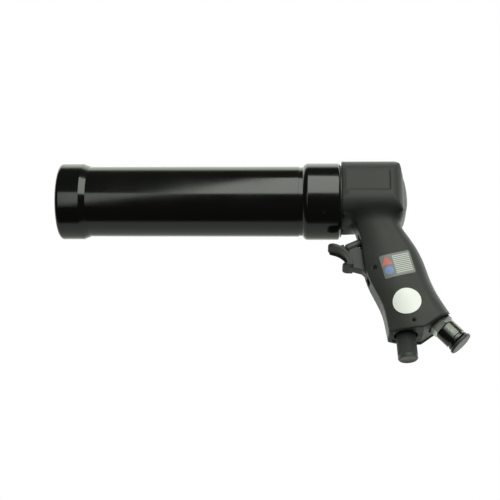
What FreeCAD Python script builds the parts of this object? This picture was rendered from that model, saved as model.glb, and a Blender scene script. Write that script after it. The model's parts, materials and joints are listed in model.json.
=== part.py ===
import FreeCAD, Part
import os
import re

import Sketcher
from FreeCAD import Placement, Rotation, Vector

# Pneumatic cartridge gun: a closed barrel that holds a sealant cartridge, on a pistol handle with a
# trigger valve, a throttle knob and an air inlet under the grip.
#
# The muzzle's opening is centred on the origin, the barrel runs along +X, +Z is up, and the trigger
# is pulled towards +X.  Lengths are millimetres and angles are degrees.  A size that starts with an
# equals sign is worked out from the sizes above it.

SIZES = {
    # barrel
    "barrel_length": 217.0,        # muzzle face to the plane where the ring meets the handle's head
    "tube_r": 27.5,
    "tube_wall": 1.5,
    "thread_gap": 0.1,
    "nozzle_hole_r": 13.0,
    "cap_wall": 2.25,
    "cap_r": "=tube_r + cap_wall",
    "cap_length": 23.0,
    "cap_face": 3.0,
    "cap_round": 3.0,
    "cap_taper": 4.7,
    "cap_taper_drop": 2.0,
    "washer_thick": 1.5,
    "washer_hole_r": 16.0,
    "end_gap": 0.3,
    "ring_wall": 2.5,
    "ring_r": "=tube_r + ring_wall",
    "ring_length": 28.4,
    "ring_gap": 0.4,
    "ring_front_round": 4.0,
    "ring_front_drop": 2.0,
    "ring_rear_round": 2.2,
    "relief_length": 3.1,
    "relief_deep": 0.5,
    "gasket_thick": 1.0,
    "lock_screw_r": 1.5,
    "lock_screw_long": 4.2,
    "lock_screw_back": 12.8,
    "lock_screw_angle": 45.0,
    "lock_screw_sunk": 0.4,
    "lock_socket_deep": 2.0,
    # adapter and cartridge seal
    "adapter_ahead": 15.0,
    "adapter_floor": 3.0,
    "adapter_spigot_r": 18.0,
    "adapter_spigot_long": 12.4,
    "spigot_groove_at": 8.0,
    "ring_seal_r": 0.9,
    "cone_gap": 2.0,
    "cone_taper": 3.0,
    "cone_base_r": "=tube_r - tube_wall - cone_gap",
    "cone_tip_r": "=cone_base_r - cone_taper",
    "cone_rim": 2.0,
    "cone_long": 8.0,
    "bolt_r": 5.0,
    "bolt_head_flat": 13.0,
    "bolt_head_high": 5.0,
    "bolt_air_r": 2.0,
    # head of the handle
    "head_gap": 0.5,
    "head_half": 26.5,
    "head_top": 27.7,
    "head_bottom": 19.3,
    "head_sag": 1.4,
    "head_back_lean": 0.7,
    "head_back_spare": 1.0,
    "head_top_round": 18.0,
    "head_bottom_round": 14.0,
    "head_plan_round": 11.0,
    "head_length": 46.2,
    "head_bulge": 5.0,
    "head_corner": 13.0,
    "head_lead": 5.0,
    "head_lead_drop": 1.2,
    "panel_front": 4.9,
    "panel_rear": 37.3,
    "panel_top": 13.2,
    "panel_bottom": 4.6,
    "panel_deep": 0.8,
    "panel_round": 1.5,
    # grip
    "grip_length": 113.1,
    "grip_back_flat": 2.0,
    "grip_shoulder": 0.45,
    "base_wall": 3.2,
    "base_fit": 0.1,
    "base_step": 0.8,
    "base_tilt": 3.2,
    "base_corner": 58.5,
    "facet_tilt": 36.5,
    "block_high": 26.0,
    "duct_top_drop": 27.0,
    "duct_overlap": 4.0,
    # trigger and valve
    "trigger_pin_x": 24.2,
    "trigger_pin_z": -63.2,
    "pin_r": 1.5,
    "pin_gap": 0.05,
    "trigger_pin_half": 12.0,
    "trigger_slot": 9.4,
    "slot_below": 8.0,
    "slot_behind": 4.6,
    "slot_step": 2.0,
    "slot_roof": 2.0,
    "trigger_web": 8.6,
    "trigger_width": 16.0,
    "trigger_rim": 1.8,
    "trigger_dish": 1.4,
    "plate_x": -9.0,
    "plate_z": -58.0,
    "plate_r": 15.0,
    "plate_rim": 2.7,
    "plate_tip": 0.9,
    "plate_tip_round": 4.5,
    "plate_foot_drop": 0.3,
    "foot_front": 9.8,
    "foot_high": 2.2,
    "web_overlap": 0.5,
    "web_top": 5.0,
    "web_eye_r": 3.6,
    "web_back_high": 9.0,
    "web_back_top": 19.4,
    "web_back_reach": 8.2,
    "valve_x": 14.0,
    "valve_z": -36.4,
    "valve_tilt": 25.0,
    "valve_r": 6.0,
    "valve_deep": 34.0,
    "sleeve_front": 2.5,
    "sleeve_long": 21.0,
    "sleeve_guide": 14.0,
    "sleeve_bore_r": 4.2,
    "sleeve_seal_at": 10.0,
    "sleeve_seal": 2.4,
    "sleeve_seal_deep": 1.2,
    "stem_r": 3.0,
    "stem_gap": 0.06,
    "stem_out": 11.6,
    "stem_chamfer": 1.2,
    "web_below_stem": 3.6,
    "stem_groove_low": 6.4,
    "stem_groove_spare": 0.6,
    "boss_gap": 0.4,
    "boss_root": 17.0,
    "poppet_r": 4.9,
    "poppet_thick": 2.4,
    "poppet_seal": 1.0,
    "valve_wire_r": 0.4,
    "valve_coil_r": 3.4,
    "valve_turns": 4.0,
    "air_r": 3.5,
    "air_port_x": 30.0,
    "drop_port_deep": 6.0,
    "bore_spare": 8.0,
    # throttle
    "knob_x": 46.2,
    "knob_r": 7.25,
    "knob_out": 18.2,
    "knob_chamfer": 1.0,
    "knob_stem_r": 4.0,
    "knob_stem_end": 13.0,
    "knob_neck_r": 5.6,
    "knob_neck_end": 5.2,
    "knob_skirt": 2.0,
    "knob_recess_r": 8.8,
    "knob_recess_deep": 6.0,
    "bonnet_r": 6.0,
    "bonnet_long": 3.5,
    "plug_fit": 0.06,
    "plug_long": 9.5,
    "plug_cone": 2.5,
    "plug_seal_at": 1.5,
    "plug_seal": 1.6,
    "plug_seal_deep": 1.0,
    "throttle_deep": 23.5,
    "throttle_gap": 0.1,
    # air inlet
    "inlet_x": 71.2,
    "inlet_tilt": 42.9,
    "inlet_recess_r": 9.9,
    "inlet_recess_deep": 3.0,
    "inlet_washer": 1.0,
    "inlet_flat": 16.0,
    "inlet_hex_end": 4.8,
    "inlet_shank_r": 6.5,
    "inlet_shank_long": 9.0,
    "inlet_way_long": 5.0,
    "hex_chamfer": 0.8,
    "cross_port_short": 9.0,
    "cross_port_drop": 3.0,
    "cross_port_r": 2.5,
    "inlet_body_r": 8.5,
    "inlet_body_end": 18.7,
    "inlet_groove_at": 15.7,
    "inlet_groove": 1.4,
    "inlet_groove_deep": 0.9,
    "inlet_edge": 0.5,
    "inlet_thread_r": 5.72,
    "inlet_thread_long": 11.5,
    "filter_thick": 0.8,
    "dust_flange_r": 9.3,
    "dust_flange": 2.5,
    "dust_gap": 0.6,
    "dust_fit": 0.07,
    "dust_long": 8.5,
    "dust_wall": 1.4,
    # labels and pins
    "label_x": 40.6,
    "label_z": -62.0,
    "label_wide": 23.0,
    "label_high": 19.2,
    "label_angle": 13.5,
    "label_round": 1.3,
    "label_thick": 0.25,
    "sticker_x": 46.6,
    "sticker_z": -92.0,
    "sticker_r": 10.2,
    "base_pin_x": 50.9,
    "base_pin_up": 5.8,
    "base_pin_r": 1.2,
    "base_pin_inner": 10.5,
    "base_pin_outer": 16.0,
}

# Grip sections from the head downwards: share of the grip's length, front edge, back edge,
# half of the greatest width and half of the front's width.
GRIP_SECTIONS = [
    (0.13, 6.5, 42.5, 18.8, 12.5),
    (0.20, 9.8, 45.8, 16.6, 10.4),
    (0.28, 13.4, 49.8, 15.0, 9.0),
    (0.38, 15.4, 56.2, 14.8, 8.8),
    (0.49, 16.6, 61.3, 15.3, 8.9),
    (0.60, 19.4, 64.9, 15.8, 9.0),
    (0.71, 24.7, 69.5, 16.3, 9.1),
    (0.82, 29.8, 76.0, 16.8, 9.2),
    (0.93, 32.3, 83.3, 17.1, 9.3),
    (1.04, 33.4, 90.8, 17.3, 9.3),
]

doc = FreeCAD.newDocument("cartridge_gun")
sheet = doc.addObject("Spreadsheet::Sheet", "Sizes")
for row, (alias, value) in enumerate(SIZES.items(), start=1):
    sheet.set(f"A{row}", alias)
    sheet.set(f"B{row}", str(value))
    sheet.setAlias(f"B{row}", alias)
doc.recompute()


def bound(text):
    """Turns the bare size names of an expression into references to the sheet."""
    return re.sub(r"[a-z_]+", lambda word: "Sizes." + word[0] if word[0] in SIZES else word[0], str(text))


def worth(holder, text):
    """The number that an expression of size names has now."""
    found = holder.evalExpression(bound(text))
    return float(getattr(found, "Value", found))


def bind(holder, path, text):
    """Binds one property of an object to an expression of size names."""
    holder.setExpression(path, bound(text))


# Frames that the pieces sit in: where their own origin lies along X and Z, and how far their own
# +X axis is turned from the gun's +X towards -Z.
BASE_Z = "-grip_length"
FACET_CORNER_Z = "-grip_length + (base_corner - knob_x) * tan(base_tilt * 1 deg)"
INLET_Z = f"({FACET_CORNER_Z}) + (inlet_x - base_corner) * tan(facet_tilt * 1 deg)"
FRAMES = {
    "barrel": ("0", "0", "0"),
    "head": ("barrel_length", "0", "0"),
    "valve": ("barrel_length + valve_x", "valve_z", "-valve_tilt"),
    "knob": ("barrel_length + knob_x", BASE_Z, "90 - base_tilt"),
    "inlet": ("barrel_length + inlet_x", INLET_Z, "90 - inlet_tilt"),
}


def settle(piece, frame, ahead="0", extra_turn="0"):
    """Places a piece in a frame, moved along the frame's own +X by the distance ahead."""
    east, up, turn = FRAMES[frame]
    piece.Placement = Placement(Vector(), Rotation(Vector(0, 1, 0), 1))
    bind(piece, "Placement.Base.x", f"({east}) + ({ahead}) * cos(({turn}) * 1 deg)")
    bind(piece, "Placement.Base.z", f"({up}) - ({ahead}) * sin(({turn}) * 1 deg)")
    bind(piece, "Placement.Rotation.Angle", f"(({turn}) + ({extra_turn})) * 1 deg")


def new_body(label):
    body = doc.addObject("PartDesign::Body", label)
    body.Label = label
    return body


def origin_plane(body, role):
    return next(feature for feature in body.Origin.OriginFeatures if feature.Role == role)


def new_sketch(body, name, role, lift=None):
    """A sketch on one of the body's origin planes, lifted along the plane's normal if asked."""
    sketch = body.newObject("Sketcher::SketchObject", name)
    sketch.AttachmentSupport = (origin_plane(body, role), [""])
    sketch.MapMode = "FlatFace"
    if lift is not None:
        bind(sketch, "AttachmentOffset.Base.z", lift)
    return sketch


def end_at(sketch, edge, spot):
    """Which end of an edge, 1 or 2, lies at a spot."""
    geometry = sketch.Geometry[edge]
    near_start = (geometry.StartPoint - spot).Length < (geometry.EndPoint - spot).Length
    return 1 if near_start else 2


def fix_length(sketch, kind, places, text):
    """Adds a dimension to a sketch and binds it to an expression."""
    number = sketch.addConstraint(Sketcher.Constraint(kind, *places, worth(sketch, text)))
    sketch.setExpression(f"Constraints[{number}]", bound(text))


def draw(sketch, corners):
    """Draws a closed outline whose corners are (across, up) or (across, up, bulge).

    With a bulge, the edge that leaves the corner is an arc that stands that far out of the straight
    line to the next corner, on the right-hand side of the way along it.
    """
    first = sketch.GeometryCount
    spots = [Vector(worth(sketch, corner[0]), worth(sketch, corner[1]), 0) for corner in corners]
    count = len(corners)
    for index, corner in enumerate(corners):
        here, there = spots[index], spots[(index + 1) % count]
        if len(corner) == 2:
            sketch.addGeometry(Part.LineSegment(here, there), False)
            continue
        right = Vector((there - here).y, -(there - here).x, 0).normalize()
        crown = (here + there) / 2 + right * worth(sketch, corner[2])
        sketch.addGeometry(Part.Arc(here, crown, there), False)
    for index, corner in enumerate(corners):
        edge, before = first + index, first + (index - 1) % count
        spot = spots[index]
        end = end_at(sketch, edge, spot)
        joined = (before, end_at(sketch, before, spot), edge, end)
        sketch.addConstraint(Sketcher.Constraint("Coincident", *joined))
        fix_length(sketch, "DistanceX", (-1, 1, edge, end), corner[0])
        fix_length(sketch, "DistanceY", (-1, 1, edge, end), corner[1])
        if len(corner) == 3:
            fix_arc(sketch, edge, corner, corners[(index + 1) % count])


def fix_arc(sketch, edge, start, finish):
    """Fixes the centre of the arc between two corners from the first corner's bulge."""
    across = f"(({finish[0]}) - ({start[0]}))"
    up = f"(({finish[1]}) - ({start[1]}))"
    chord = f"sqrt(pow({across}; 2) + pow({up}; 2))"
    bulge = f"({start[2]})"
    offset = f"(pow({chord}; 2) / 4 - pow({bulge}; 2)) / (2 * {bulge} * {chord})"
    if abs(worth(sketch, up)) > abs(worth(sketch, across)):
        fix_length(sketch, "DistanceX", (-1, 1, edge, 3),
                   f"(({start[0]}) + ({finish[0]})) / 2 - {up} * {offset}")
    else:
        fix_length(sketch, "DistanceY", (-1, 1, edge, 3),
                   f"(({start[1]}) + ({finish[1]})) / 2 + {across} * {offset}")


def draw_circle(sketch, across, up, radius):
    edge = sketch.addGeometry(Part.Circle(Vector(worth(sketch, across), worth(sketch, up), 0),
                                          Vector(0, 0, 1), worth(sketch, radius)), False)
    fix_length(sketch, "DistanceX", (-1, 1, edge, 3), across)
    fix_length(sketch, "DistanceY", (-1, 1, edge, 3), up)
    fix_length(sketch, "Radius", (edge,), radius)


def quarter(radius):
    """How far a quarter circle stands out of its chord."""
    return f"({radius}) * (1 - sqrt(0.5))"


def tangent_bulge(along, aside):
    """How far an arc stands out of its chord when one of its ends runs straight on along a side."""
    chord = f"(pow({along}; 2) + pow({aside}; 2))"
    radius = f"({chord} / (2 * {aside}))"
    return f"{radius} - sqrt(pow({radius}; 2) - {chord} / 4)"


def turned(label, frame, corners, ahead="0"):
    """A turned piece: an outline of (along the frame's +X, radius) corners, turned about that axis."""
    body = new_body(label)
    sketch = new_sketch(body, label + "_outline", "XZ_Plane")
    draw(sketch, corners)
    turn = body.newObject("PartDesign::Revolution", label + "_turn")
    turn.Profile = sketch
    turn.ReferenceAxis = (sketch, ["H_Axis"])
    turn.Angle = 360
    settle(body, frame, ahead)
    return body


def padded(body, sketch, name, length, symmetric=False, backwards=False):
    pad = body.newObject("PartDesign::Pad", name)
    pad.Profile = sketch
    bind(pad, "Length", length)
    pad.SideType = "Symmetric" if symmetric else "One side"
    pad.Reversed = backwards
    return pad


def pocketed(body, sketch, name, length, symmetric=False, backwards=False):
    pocket = body.newObject("PartDesign::Pocket", name)
    pocket.Profile = sketch
    bind(pocket, "Length", length)
    pocket.SideType = "Symmetric" if symmetric else "One side"
    pocket.Reversed = backwards
    return pocket


def rod(name, frame, start, end, radius):
    """A plain cylinder along a frame's +X, used to cut a bore."""
    cylinder = doc.addObject("Part::Cylinder", name)
    bind(cylinder, "Radius", radius)
    bind(cylinder, "Height", f"({end}) - ({start})")
    settle(cylinder, frame, start, "90")
    return cylinder


def cross_rod(name, x, z, half, radius):
    """A cylinder across the gun, centred on its middle plane."""
    cylinder = doc.addObject("Part::Cylinder", name)
    bind(cylinder, "Radius", radius)
    bind(cylinder, "Height", f"2 * ({half})")
    cylinder.Placement = Placement(Vector(), Rotation(Vector(1, 0, 0), -90))
    bind(cylinder, "Placement.Base.x", f"barrel_length + ({x})")
    bind(cylinder, "Placement.Base.y", f"-({half})")
    bind(cylinder, "Placement.Base.z", z)
    return cylinder


def fused(name, pieces):
    joined = doc.addObject("Part::MultiFuse", name)
    joined.Shapes = pieces
    return joined


def cut_from(name, base, tool):
    difference = doc.addObject("Part::Cut", name)
    difference.Base = base
    difference.Tool = tool
    return difference


def shared(name, base, tool):
    overlap = doc.addObject("Part::Common", name)
    overlap.Base = base
    overlap.Tool = tool
    return overlap


def hexagon(flat):
    """Corners of a hexagon of a given width across its flats."""
    reach = f"({flat}) / 2 / cos(30 deg)"
    return [(f"{reach} * cos({60 * step} deg)", f"{reach} * sin({60 * step} deg)") for step in range(6)]


def block(label, frame, corners, wide):
    """A slab with a side outline of (along X, up) corners, centred on the gun's middle plane."""
    body = new_body(label)
    sketch = new_sketch(body, label + "_outline", "XZ_Plane")
    draw(sketch, corners)
    padded(body, sketch, label + "_pad", wide, symmetric=True)
    settle(body, frame)
    return body


# ---------------------------------------------------------------- barrel


def front_cap():
    """Screw cap with a rounded front edge, a tapered rear edge and the hole for the nozzle."""
    bore = "tube_r + thread_gap"
    return turned("front_cap", "barrel", [
        ("0", "nozzle_hole_r"),
        ("cap_face", "nozzle_hole_r"),
        ("cap_face", bore),
        ("cap_length", bore),
        ("cap_length", "cap_r - cap_taper_drop"),
        ("cap_length - cap_taper", "cap_r"),
        ("cap_round", "cap_r", quarter("cap_round")),
        ("0", "cap_r - cap_round"),
    ])


def cap_washer():
    """Pressure ring inside the cap, which the cap turns on."""
    return turned("cap_washer", "barrel", [
        ("cap_face", "washer_hole_r"),
        ("cap_face + washer_thick", "washer_hole_r"),
        ("cap_face + washer_thick", "tube_r - end_gap"),
        ("cap_face", "tube_r - end_gap"),
    ])


def barrel_tube():
    """Drawn tube with a shallow thread relief in front of the ring."""
    front = "cap_face + washer_thick + end_gap"
    rear = "barrel_length - adapter_ahead - gasket_thick"
    ring_front = "barrel_length - ring_gap - ring_length"
    return turned("barrel_tube", "barrel", [
        (front, "tube_r - tube_wall"),
        (rear, "tube_r - tube_wall"),
        (rear, "tube_r"),
        (ring_front, "tube_r"),
        (ring_front, "tube_r - relief_deep"),
        (f"{ring_front} - relief_length", "tube_r - relief_deep"),
        (f"{ring_front} - relief_length", "tube_r"),
        (front, "tube_r"),
    ])


def tube_gasket():
    """Flat seal between the tube's end and the adapter."""
    return turned("tube_gasket", "head", [
        ("-adapter_ahead - gasket_thick", "tube_r - tube_wall"),
        ("-adapter_ahead", "tube_r - tube_wall"),
        ("-adapter_ahead", "tube_r"),
        ("-adapter_ahead - gasket_thick", "tube_r"),
    ])


def rear_ring():
    """Threaded collar that joins the tube to the adapter, with a hole for its lock screw."""
    front, rear = "-ring_gap - ring_length", "-ring_gap"
    body = turned("ring_blank", "head", [
        (front, "tube_r"),
        (rear, "tube_r"),
        (rear, "ring_r - ring_rear_round", quarter("ring_rear_round")),
        (f"{rear} - ring_rear_round", "ring_r"),
        (f"{front} + ring_front_round", "ring_r", "0.25 * ring_front_drop"),
        (front, "ring_r - ring_front_drop"),
    ])
    return cut_from("ring_bored", body, lock_screw_hole())


def screw_rod(name, start, long, radius):
    """A cylinder on the lock screw's line, which points from the barrel's axis down and outwards."""
    cylinder = doc.addObject("Part::Cylinder", name)
    bind(cylinder, "Radius", radius)
    bind(cylinder, "Height", long)
    cylinder.Placement = Placement(Vector(), Rotation(Vector(1, 0, 0), 90))
    bind(cylinder, "Placement.Rotation.Angle", "(90 + lock_screw_angle) * 1 deg")
    bind(cylinder, "Placement.Base.x", "barrel_length - lock_screw_back")
    bind(cylinder, "Placement.Base.y", f"-({start}) * cos(lock_screw_angle * 1 deg)")
    bind(cylinder, "Placement.Base.z", f"-({start}) * sin(lock_screw_angle * 1 deg)")
    return cylinder


LOCK_SCREW_FOOT = "ring_r - lock_screw_long - lock_screw_sunk"


def lock_screw_hole():
    return screw_rod("lock_screw_hole", LOCK_SCREW_FOOT, "2 * lock_screw_long", "lock_screw_r")


def ring_lock_screw():
    """Grub screw with a socket, just under the ring's surface."""
    stem = screw_rod("grub_stem", LOCK_SCREW_FOOT, "lock_screw_long", "lock_screw_r")
    socket_floor = "ring_r - lock_screw_sunk - lock_socket_deep"
    socket = screw_rod("grub_socket", socket_floor, "2 * lock_socket_deep", "0.5 * lock_screw_r")
    return cut_from("grub_screw", stem, socket)


def head_adapter():
    """Screwed plug between the barrel and the head, with the seat of the cartridge seal."""
    groove = "spigot_groove_at"
    low = "adapter_spigot_r - 2 * ring_seal_r"
    blank = turned("adapter_blank", "head", [
        ("-adapter_ahead", "tube_r - tube_wall"),
        ("-adapter_floor", "tube_r - tube_wall"),
        ("-adapter_floor", "bolt_r"),
        ("head_gap + adapter_spigot_long", "bolt_r"),
        ("head_gap + adapter_spigot_long", "adapter_spigot_r"),
        (f"{groove} + 2 * ring_seal_r", "adapter_spigot_r"),
        (f"{groove} + 2 * ring_seal_r", low),
        (groove, low),
        (groove, "adapter_spigot_r"),
        ("head_gap", "adapter_spigot_r"),
        ("head_gap", "tube_r"),
        ("-adapter_ahead", "tube_r"),
    ])
    return cut_from("adapter_bored", blank, lock_screw_hole())


def adapter_o_ring():
    ring = doc.addObject("Part::Torus", "adapter_o_ring")
    bind(ring, "Radius1", "adapter_spigot_r - ring_seal_r")
    bind(ring, "Radius2", "ring_seal_r")
    settle(ring, "head", "spigot_groove_at + ring_seal_r", "90")
    return ring


def cone_seal():
    """Rubber plug that the cartridge's open end is pushed over."""
    base = "-adapter_floor"
    return turned("cone_seal", "head", [
        (base, "bolt_r"),
        (base, "cone_base_r"),
        (f"{base} - cone_rim", "cone_base_r"),
        (f"{base} - cone_long", "cone_tip_r"),
        (f"{base} - cone_long", "bolt_r"),
    ])


def seal_bolt():
    """Hollow hexagon bolt that holds the cone seal and lets the air through."""
    body = new_body("seal_bolt")
    seat = "-adapter_floor - cone_long"
    head = new_sketch(body, "bolt_head", "YZ_Plane", seat)
    draw(head, hexagon("bolt_head_flat"))
    padded(body, head, "bolt_head_pad", "bolt_head_high", backwards=True)
    shank = new_sketch(body, "bolt_shank", "YZ_Plane", seat)
    draw_circle(shank, "0", "0", "bolt_r")
    padded(body, shank, "bolt_shank_pad", "adapter_floor + cone_long + head_gap + adapter_spigot_long")
    air = new_sketch(body, "bolt_air", "YZ_Plane", f"{seat} - bolt_head_high")
    draw_circle(air, "0", "0", "bolt_air_r")
    pocketed(body, air, "bolt_air_hole", "2 * adapter_ahead + bolt_head_high + adapter_spigot_long",
             backwards=True)
    settle(body, "head")
    return body


# ---------------------------------------------------------------- handle


def trimmed(body, name, role, outline):
    """Cuts away all of a body that lies outside an outline drawn on one of its planes."""
    sketch = new_sketch(body, name, role)
    edge = "4 * head_half"
    draw(sketch, [(f"-{edge}", f"-{edge}"), (edge, f"-{edge}"), (edge, edge), (f"-{edge}", edge)])
    draw(sketch, outline)
    pocketed(body, sketch, name + "_cut", f"2 * {edge}", symmetric=True)


def head_block():
    """The head: a side outline with a bulged back, trimmed to rounded outlines from the front and above."""
    corner, back, front = "head_corner", "head_length", "head_gap"
    lead, drop = "head_lead", "head_lead_drop"
    spare = "head_length + head_back_spare"
    low_end = "-head_bottom - head_sag"
    body = new_body("head_block")
    side = new_sketch(body, "head_side", "XZ_Plane")
    draw(side, [
        (front, "-head_bottom"),
        (f"{back} - head_back_lean", low_end, "head_bulge"),
        (back, f"head_top - {corner}", quarter(corner)),
        (f"{back} - {corner}", "head_top"),
        (f"{front} + {lead}", "head_top"),
        (front, f"head_top - {drop}"),
    ])
    padded(body, side, "head_pad", "2 * head_half", symmetric=True)
    top, low, half = "head_top_round", "head_bottom_round", "head_half"
    trimmed(body, "head_section", "YZ_Plane", [
        (f"-{half} + {low}", low_end),
        (f"{half} - {low}", low_end, quarter(low)),
        (half, f"{low_end} + {low}"),
        (half, f"head_top - {top}", quarter(top)),
        (f"{half} - {top}", "head_top"),
        (f"-{half} + {top}", "head_top", quarter(top)),
        (f"-{half}", f"head_top - {top}"),
        (f"-{half}", f"{low_end} + {low}", quarter(low)),
    ])
    plan = "head_plan_round"
    trimmed(body, "head_plan", "XY_Plane", [
        (front, f"-{half} + {drop}"),
        (f"{front} + {lead}", f"-{half}"),
        (f"{spare} - {plan}", f"-{half}", quarter(plan)),
        (spare, f"-{half} + {plan}", "0.8 * head_bulge"),
        (spare, f"{half} - {plan}", quarter(plan)),
        (f"{spare} - {plan}", half),
        (f"{front} + {lead}", half),
        (front, f"{half} - {drop}"),
    ])
    settle(body, "head")
    return body


def grip_solid(name, inset):
    """The leaning grip as a loft through its sections, shrunk all round by an inset."""
    body = new_body(name)
    sketches = []
    for number, (share, front, back, half, nose) in enumerate(GRIP_SECTIONS):
        sketch = new_sketch(body, f"{name}_{number}", "XY_Plane", f"-grip_length * {share}")
        near, far = f"{front} + ({inset})", f"{back} - ({inset})"
        wide, slim = f"{half} - ({inset})", f"{nose} - ({inset}) * 0.8"
        flat = "grip_back_flat"
        shoulder = f"{front} + grip_shoulder * ({back} - {front})"
        flare = tangent_bulge(f"({shoulder} - ({near}))", f"(({wide}) - ({slim}))")
        curve = f"(({wide}) - {flat})"
        draw(sketch, [
            (near, slim),
            (near, f"-({slim})", flare),
            (shoulder, f"-({wide})"),
            (f"{far} - {curve}", f"-({wide})", quarter(curve)),
            (far, f"-{flat}"),
            (far, flat, quarter(curve)),
            (f"{far} - {curve}", wide),
            (shoulder, wide, flare),
        ])
        sketches.append(sketch)
    loft = body.newObject("PartDesign::AdditiveLoft", name + "_loft")
    loft.Profile = sketches[0]
    loft.Sections = sketches[1:]
    loft.Ruled = False
    settle(body, "head")
    return body


def below_base(name, lift):
    """Everything under the base's flat and slanted facets, moved up by the lift."""
    corner = f"({FACET_CORNER_Z}) + ({lift})"
    slope, rise = "tan(base_tilt * 1 deg)", "tan(facet_tilt * 1 deg)"
    return block(name, "head", [
        ("0", f"{corner} - base_corner * {slope}"),
        ("0", "-2 * grip_length"),
        ("2 * base_corner", "-2 * grip_length"),
        ("2 * base_corner", f"{corner} + base_corner * {rise}"),
        ("base_corner", corner),
    ], "3 * head_half")


def block_zone(name):
    """The bottom of the grip, as far up as the base block reaches."""
    return block(name, "head", [
        ("0", "-grip_length + block_high"),
        ("0", "-2 * grip_length"),
        ("2 * base_corner", "-2 * grip_length"),
        ("2 * base_corner", "-grip_length + block_high"),
    ], "2 * head_half")


def side_panel(name, side):
    """The shallow rounded recess on one side of the head."""
    body = new_body(name)
    sketch = new_sketch(body, name + "_outline", "XZ_Plane", f"{side} * (head_half - panel_deep)")
    curve = "panel_round"
    draw(sketch, [
        (f"panel_front + {curve}", "-panel_bottom"),
        (f"panel_rear - {curve}", "-panel_bottom", quarter(curve)),
        ("panel_rear", f"-panel_bottom + {curve}"),
        ("panel_rear", f"panel_top - {curve}", quarter(curve)),
        (f"panel_rear - {curve}", "panel_top"),
        (f"panel_front + {curve}", "panel_top", quarter(curve)),
        ("panel_front", f"panel_top - {curve}"),
        ("panel_front", f"-panel_bottom + {curve}", quarter(curve)),
    ])
    padded(body, sketch, name + "_pad", "4 * panel_deep", backwards=side < 0)
    settle(body, "head")
    return body


def air_duct():
    """The drilled way up through the grip, from the throttle to the valve."""
    return rod("air_duct", "knob", "-grip_length + duct_top_drop", "-block_high + duct_overlap", "air_r")


def handle_housing():
    """One-piece moulded head and grip, with its sockets, bores, slot and recesses."""
    blank = fused("handle_blank", [head_block(), grip_solid("grip_outer", "0")])
    slot = block("trigger_slot", "head", [
        ("0", "trigger_pin_z - slot_below"),
        ("trigger_pin_x - slot_step", "trigger_pin_z - slot_below"),
        ("trigger_pin_x + slot_behind", "trigger_pin_z - slot_step"),
        ("trigger_pin_x + slot_behind", "trigger_pin_z + slot_below"),
        ("valve_x + slot_behind", "valve_z - slot_roof"),
        ("0", "valve_z - slot_roof"),
    ], "trigger_slot")
    base_pocket = shared("base_pocket", grip_solid("grip_cavity", "base_wall"), block_zone("pocket_zone"))
    cavities = fused("handle_cavities", [
        below_base("under_base", "0"),
        base_pocket,
        slot,
        side_panel("near_panel", 1),
        side_panel("far_panel", -1),
        rod("adapter_socket", "head", "-head_gap", "head_gap + adapter_spigot_long", "adapter_spigot_r"),
        rod("axial_port", "head", "head_gap + adapter_spigot_long", "air_port_x + air_r", "air_r"),
        drop_port("drop_port"),
        rod("valve_bore", "valve", "-bore_spare", "valve_deep", "valve_r"),
        air_duct(),
        rod("inlet_pit", "inlet", "-inlet_recess_deep", "2 * inlet_recess_deep", "inlet_recess_r"),
        cross_rod("trigger_pin_hole", "trigger_pin_x", "trigger_pin_z", "head_half", "pin_r"),
        base_pin_holes("base_pin_holes"),
    ])
    return cut_from("handle", blank, cavities)


def drop_port(name):
    """The short drilled way from the valve up to the barrel's axis."""
    port = doc.addObject("Part::Cylinder", name)
    bind(port, "Radius", "air_r")
    bind(port, "Height", "-valve_z - drop_port_deep")
    bind(port, "Placement.Base.x", "barrel_length + air_port_x")
    bind(port, "Placement.Base.z", "valve_z + drop_port_deep")
    return port


def trigger_pin():
    return cross_rod("pivot_pin", "trigger_pin_x", "trigger_pin_z", "trigger_pin_half", "pin_r - pin_gap")


def base_pin_rods(name, outer_end, radius):
    """A short rod on each side of the base, from the inner ends of the pin holes outwards."""
    height = "-grip_length + base_pin_up"
    whole = cross_rod(name + "_whole", "base_pin_x", height, outer_end, radius)
    middle = cross_rod(name + "_middle", "base_pin_x", height, "base_pin_inner", "2 * base_pin_r")
    return cut_from(name, whole, middle)


def base_pin_holes(name):
    return base_pin_rods(name, "head_half", "base_pin_r")


def base_pins():
    """Two short dowels that hold the base block in the grip."""
    return base_pin_rods("dowels", "base_pin_outer", "base_pin_r - pin_gap")


def grip_label(name, prism):
    """The part of a thin layer over the grip's surface that lies inside a prism."""
    patch = shared(name + "_patch", grip_solid(name + "_outer", "-label_thick"), prism)
    return cut_from(name, patch, grip_solid(name + "_inner", "0"))


def info_label():
    """Blank rectangular label on the near side of the grip."""
    body = new_body("label_prism")
    sketch = new_sketch(body, "label_outline", "XZ_Plane")
    half_wide, half_high, curve = "label_wide / 2", "label_high / 2", "label_round"
    draw(sketch, [
        (f"-{half_wide} + {curve}", f"-{half_high}"),
        (f"{half_wide} - {curve}", f"-{half_high}", quarter(curve)),
        (half_wide, f"-{half_high} + {curve}"),
        (half_wide, f"{half_high} - {curve}", quarter(curve)),
        (f"{half_wide} - {curve}", half_high),
        (f"-{half_wide} + {curve}", half_high, quarter(curve)),
        (f"-{half_wide}", f"{half_high} - {curve}"),
        (f"-{half_wide}", f"-{half_high} + {curve}", quarter(curve)),
    ])
    padded(body, sketch, "label_pad", "2 * head_half")
    body.Placement = Placement(Vector(), Rotation(Vector(0, 1, 0), 1))
    bind(body, "Placement.Rotation.Angle", "-label_angle * 1 deg")
    bind(body, "Placement.Base.x", "barrel_length + label_x")
    bind(body, "Placement.Base.z", "label_z")
    return grip_label("label", body)


def round_sticker():
    """Blank round label near the foot of the grip."""
    body = new_body("sticker_prism")
    sketch = new_sketch(body, "sticker_outline", "XZ_Plane")
    draw_circle(sketch, "sticker_x", "sticker_z", "sticker_r")
    padded(body, sketch, "sticker_pad", "2 * head_half")
    settle(body, "head")
    return grip_label("sticker", body)


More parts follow.
